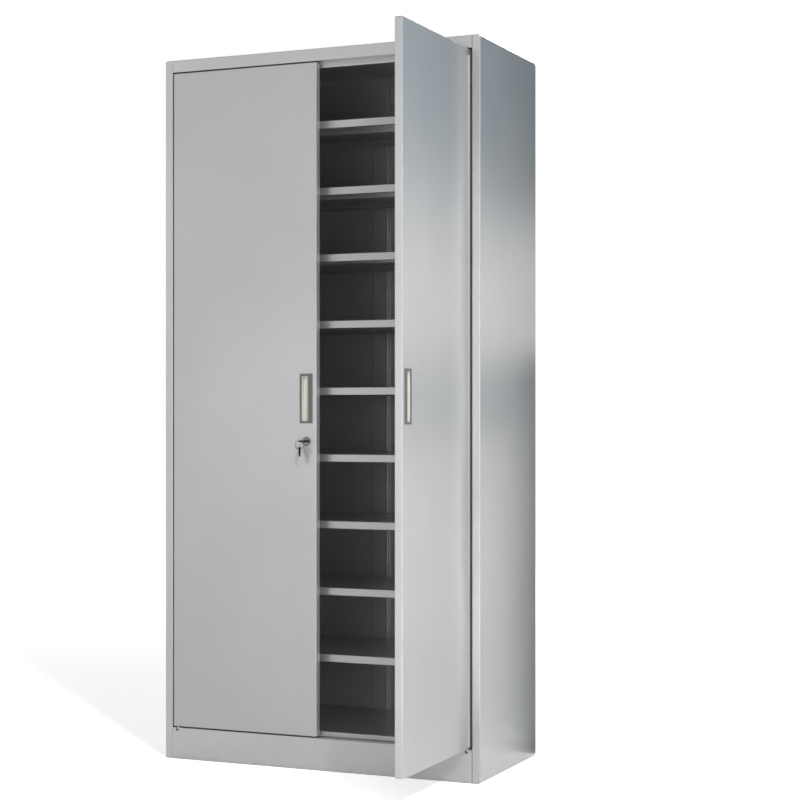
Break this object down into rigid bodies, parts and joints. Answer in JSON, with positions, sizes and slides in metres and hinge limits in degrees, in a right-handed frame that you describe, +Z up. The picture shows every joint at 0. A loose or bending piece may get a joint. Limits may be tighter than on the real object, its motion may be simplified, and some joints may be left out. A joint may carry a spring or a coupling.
{
  "type": "filing cabinet",
  "caption": "Tall two-door steel filing cabinet with adjustable shelves, flush pulls and a cam lock with top and bottom rods.",
  "frame": {"origin": "bottom centre of the front plane of the body; with the right door open it is also the bottom centre of the whole", "axes": "+X right seen from the front, +Y towards the back, +Z up; the left door is closed and the right door open 90 degrees"},
  "size_m": [0.9, 0.8035, 1.85],
  "materials": {
    "panel_paint": "light grey powder coat, semi gloss",
    "inside_paint": "light grey powder coat, semi gloss",
    "zinc_steel": "zinc plated steel",
    "chrome": "dark bright chrome",
    "nickel_blade": "nickel plated brass",
    "black_nylon": "moulded black nylon",
    "key_plastic": "glossy black plastic",
    "bumper_rubber": "soft black rubber",
    "pull_frame_grey": "satin dark grey plastic",
    "pull_cup_grey": "satin light grey plastic"
  },
  "bodies": {
    "carcass": {"left_side_panel": "panel_paint", "right_side_panel": "panel_paint", "top_panel": "panel_paint", "base_deck": "panel_paint", "plinth_front": "panel_paint", "plinth_rear": "panel_paint", "back_panel": "inside_paint", "back_stiffener": "inside_paint", "left_front_upright": "inside_paint", "left_rear_upright": "inside_paint", "right_front_upright": "inside_paint", "right_rear_upright": "inside_paint", "shelf_clips": "zinc_steel", "carcass_bolts": "zinc_steel", "back_rivets": "zinc_steel", "top_hinge_brackets": "zinc_steel", "bottom_hinge_brackets": "zinc_steel", "hinge_pins": "zinc_steel", "thrust_washers": "zinc_steel"},
    "shelf_1": {"shelf_1": "panel_paint"},
    "shelf_2": {"shelf_2": "panel_paint"},
    "shelf_3": {"shelf_3": "panel_paint"},
    "shelf_4": {"shelf_4": "panel_paint"},
    "shelf_5": {"shelf_5": "panel_paint"},
    "shelf_6": {"shelf_6": "panel_paint"},
    "shelf_7": {"shelf_7": "panel_paint"},
    "shelf_8": {"shelf_8": "panel_paint"},
    "shelf_9": {"shelf_9": "panel_paint"},
    "left_door": {"left_door_panel": "panel_paint", "left_door_channel": "inside_paint", "left_hinge_plates": "zinc_steel", "left_hinge_bushes": "black_nylon", "left_door_bumpers": "bumper_rubber", "left_pull_frame": "pull_frame_grey", "left_pull_cup": "pull_cup_grey", "lock_housing": "chrome", "lock_nut": "zinc_steel", "rod_guides": "zinc_steel"},
    "right_door": {"right_door_panel": "panel_paint", "right_door_channel": "inside_paint", "right_hinge_plates": "zinc_steel", "right_hinge_bushes": "black_nylon", "right_door_bumpers": "bumper_rubber", "right_pull_frame": "pull_frame_grey", "right_pull_cup": "pull_cup_grey"},
    "lock_rotor": {"lock_plug": "chrome", "lock_cam": "zinc_steel", "cam_screw": "zinc_steel"},
    "upper_rod": {"upper_lock_rod": "zinc_steel"},
    "lower_rod": {"lower_lock_rod": "zinc_steel"},
    "key": {"key_head": "key_plastic", "key_blade": "nickel_blade"},
    "ring": {"key_ring": "chrome"},
    "spare_key": {"spare_key_head": "key_plastic", "spare_key_blade": "nickel_blade"}
  },
  "joints": [
    {"name": "left_door_hinge", "type": "hinge", "parent": "carcass", "child": "left_door", "pos_m": [-0.4135, 0.0085, 0.9505], "axis": [0, 0, -1], "range_deg": [0, 110]},
    {"name": "right_door_hinge", "type": "hinge", "parent": "carcass", "child": "right_door", "pos_m": [0.4135, 0.0085, 0.9505], "axis": [0, 0, 1], "range_deg": [-90, 20]},
    {"name": "lock_turn", "type": "hinge", "parent": "left_door", "child": "lock_rotor", "pos_m": [-0.0311, 0, 0.843], "axis": [0, -1, 0], "range_deg": [0, 90]},
    {"name": "upper_rod_slide", "type": "slide", "parent": "left_door", "child": "upper_rod", "axis": [0, 0, 1], "range_m": [0, 0.016]},
    {"name": "lower_rod_slide", "type": "slide", "parent": "left_door", "child": "lower_rod", "axis": [0, 0, -1], "range_m": [0, 0.016]},
    {"name": "key_withdraw", "type": "slide", "parent": "lock_rotor", "child": "key", "axis": [0, -1, 0], "range_m": [0, 0.03]},
    {"name": "ring_swing", "type": "hinge", "parent": "key", "child": "ring", "pos_m": [-0.03907, -0.02064, 0.841], "axis": [0, -1, 0], "range_deg": [-90, 0]},
    {"name": "spare_key_swing", "type": "hinge", "parent": "ring", "child": "spare_key", "pos_m": [-0.03907, -0.02064, 0.82315], "axis": [0.9239, 0.3827, 0], "range_deg": [-45, 20]},
    {"name": "shelf_1_lift", "type": "slide", "parent": "carcass", "child": "shelf_1", "axis": [0, 0, 1], "range_m": [0, 0.03]},
    {"name": "shelf_2_lift", "type": "slide", "parent": "carcass", "child": "shelf_2", "axis": [0, 0, 1], "range_m": [0, 0.03]},
    {"name": "shelf_3_lift", "type": "slide", "parent": "carcass", "child": "shelf_3", "axis": [0, 0, 1], "range_m": [0, 0.03]},
    {"name": "shelf_4_lift", "type": "slide", "parent": "carcass", "child": "shelf_4", "axis": [0, 0, 1], "range_m": [0, 0.03]},
    {"name": "shelf_5_lift", "type": "slide", "parent": "carcass", "child": "shelf_5", "axis": [0, 0, 1], "range_m": [0, 0.03]},
    {"name": "shelf_6_lift", "type": "slide", "parent": "carcass", "child": "shelf_6", "axis": [0, 0, 1], "range_m": [0, 0.03]},
    {"name": "shelf_7_lift", "type": "slide", "parent": "carcass", "child": "shelf_7", "axis": [0, 0, 1], "range_m": [0, 0.03]},
    {"name": "shelf_8_lift", "type": "slide", "parent": "carcass", "child": "shelf_8", "axis": [0, 0, 1], "range_m": [0, 0.03]},
    {"name": "shelf_9_lift", "type": "slide", "parent": "carcass", "child": "shelf_9", "axis": [0, 0, 1], "range_m": [0, 0.03]}
  ],
  "couplings": [
    {"joint": "upper_rod_slide", "follows": "lock_turn", "m_per_rad": 0.010186},
    {"joint": "lower_rod_slide", "follows": "lock_turn", "m_per_rad": 0.010186},
    {"joint": "ring_swing", "follows": "lock_turn", "ratio": -1}
  ]
}
